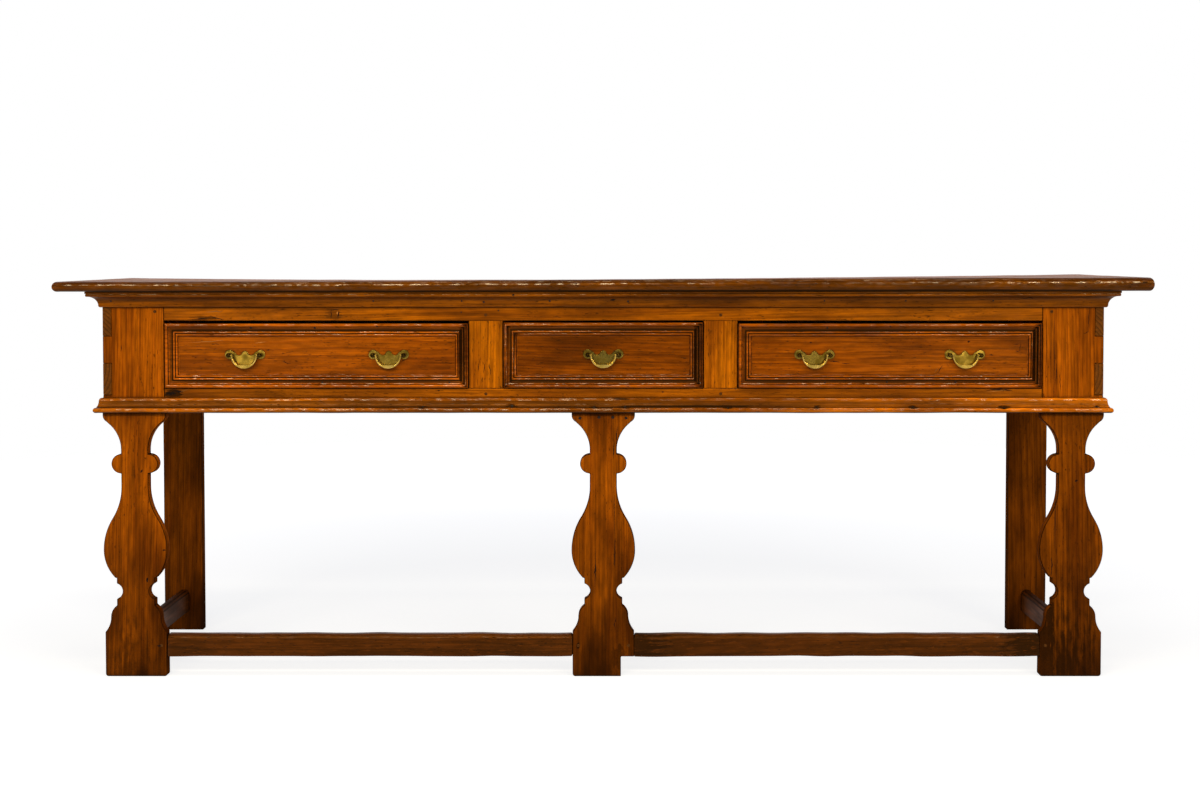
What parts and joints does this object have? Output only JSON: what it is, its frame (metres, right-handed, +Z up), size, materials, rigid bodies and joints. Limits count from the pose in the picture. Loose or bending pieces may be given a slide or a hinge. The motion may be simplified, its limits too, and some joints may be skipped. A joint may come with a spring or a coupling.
{
  "type": "dresser base",
  "caption": "Long low pine dresser base: overhanging plank top, framed case with moulded drawers and brass drop handles, flat silhouette legs in front joined by low stretchers.",
  "frame": {"origin": "on the floor under the middle of the top", "axes": "+X along the front to the right, +Y from front to back, +Z up; the drawers face -Y"},
  "size_m": [2.286, 0.51, 0.834],
  "materials": {
    "case_pine": "aged waxed pine",
    "drawer_face_pine": "aged waxed pine, redder",
    "muntin_pine": "lighter honey pine",
    "lining_pine": "unpolished pine",
    "oak_peg": "cleft oak",
    "brass": "dull aged brass"
  },
  "bodies": {
    "case": {"back_board": "lining_pine", "base_moulding_front_left": "case_pine", "base_moulding_front_right": "case_pine", "base_moulding_left": "case_pine", "base_moulding_right": "case_pine", "bottom_rail": "case_pine", "centre_leg_block": "lining_pine", "cornice_front": "case_pine", "cornice_left": "case_pine", "cornice_right": "case_pine", "drawer_bearers": "lining_pine", "drawer_guides": "lining_pine", "drawer_kickers": "lining_pine", "drawer_runners": "lining_pine", "front_leg_centre": "case_pine", "front_leg_left": "case_pine", "front_leg_right": "case_pine", "front_stretcher_left": "case_pine", "front_stretcher_right": "case_pine", "joint_pegs": "oak_peg", "muntin_left": "muntin_pine", "muntin_right": "muntin_pine", "rear_leg_left": "case_pine", "rear_leg_right": "case_pine", "side_board_left": "case_pine", "side_board_right": "case_pine", "side_stretcher_left": "case_pine", "side_stretcher_right": "case_pine", "top_back_board": "case_pine", "top_front_board": "case_pine", "top_rail": "case_pine"},
    "drawer_left": {"drawer_left_back": "lining_pine", "drawer_left_bottom": "lining_pine", "drawer_left_front": "drawer_face_pine", "drawer_left_handle_plates": "brass", "drawer_left_handle_posts": "brass", "drawer_left_moulding": "drawer_face_pine", "drawer_left_side_left": "lining_pine", "drawer_left_side_right": "lining_pine"},
    "drawer_centre": {"drawer_centre_back": "lining_pine", "drawer_centre_bottom": "lining_pine", "drawer_centre_front": "drawer_face_pine", "drawer_centre_handle_plates": "brass", "drawer_centre_handle_posts": "brass", "drawer_centre_moulding": "drawer_face_pine", "drawer_centre_side_left": "lining_pine", "drawer_centre_side_right": "lining_pine"},
    "drawer_right": {"drawer_right_back": "lining_pine", "drawer_right_bottom": "lining_pine", "drawer_right_front": "drawer_face_pine", "drawer_right_handle_plates": "brass", "drawer_right_handle_posts": "brass", "drawer_right_moulding": "drawer_face_pine", "drawer_right_side_left": "lining_pine", "drawer_right_side_right": "lining_pine"},
    "drawer_left_bail_left": {"drawer_left_bail_left": "brass"},
    "drawer_left_bail_right": {"drawer_left_bail_right": "brass"},
    "drawer_centre_bail": {"drawer_centre_bail": "brass"},
    "drawer_right_bail_left": {"drawer_right_bail_left": "brass"},
    "drawer_right_bail_right": {"drawer_right_bail_right": "brass"}
  },
  "joints": [
    {"name": "drawer_left_slide", "type": "slide", "parent": "case", "child": "drawer_left", "axis": [0, -1, 0], "range_m": [0, 0.34]},
    {"name": "drawer_centre_slide", "type": "slide", "parent": "case", "child": "drawer_centre", "axis": [0, -1, 0], "range_m": [0, 0.34]},
    {"name": "drawer_right_slide", "type": "slide", "parent": "case", "child": "drawer_right", "axis": [0, -1, 0], "range_m": [0, 0.34]},
    {"name": "drawer_left_bail_left_swing", "type": "hinge", "parent": "drawer_left", "child": "drawer_left_bail_left", "pos_m": [-0.753, -0.2231, 0.6795], "axis": [-1, 0, 0], "range_deg": [-12, 150]},
    {"name": "drawer_left_bail_right_swing", "type": "hinge", "parent": "drawer_left", "child": "drawer_left_bail_right", "pos_m": [-0.451, -0.2231, 0.6795], "axis": [-1, 0, 0], "range_deg": [-12, 150]},
    {"name": "drawer_centre_bail_swing", "type": "hinge", "parent": "drawer_centre", "child": "drawer_centre_bail", "pos_m": [0, -0.2231, 0.6805], "axis": [-1, 0, 0], "range_deg": [-12, 150]},
    {"name": "drawer_right_bail_left_swing", "type": "hinge", "parent": "drawer_right", "child": "drawer_right_bail_left", "pos_m": [0.444, -0.2231, 0.6795], "axis": [-1, 0, 0], "range_deg": [-12, 150]},
    {"name": "drawer_right_bail_right_swing", "type": "hinge", "parent": "drawer_right", "child": "drawer_right_bail_right", "pos_m": [0.76, -0.2231, 0.6795], "axis": [-1, 0, 0], "range_deg": [-12, 150]}
  ]
}
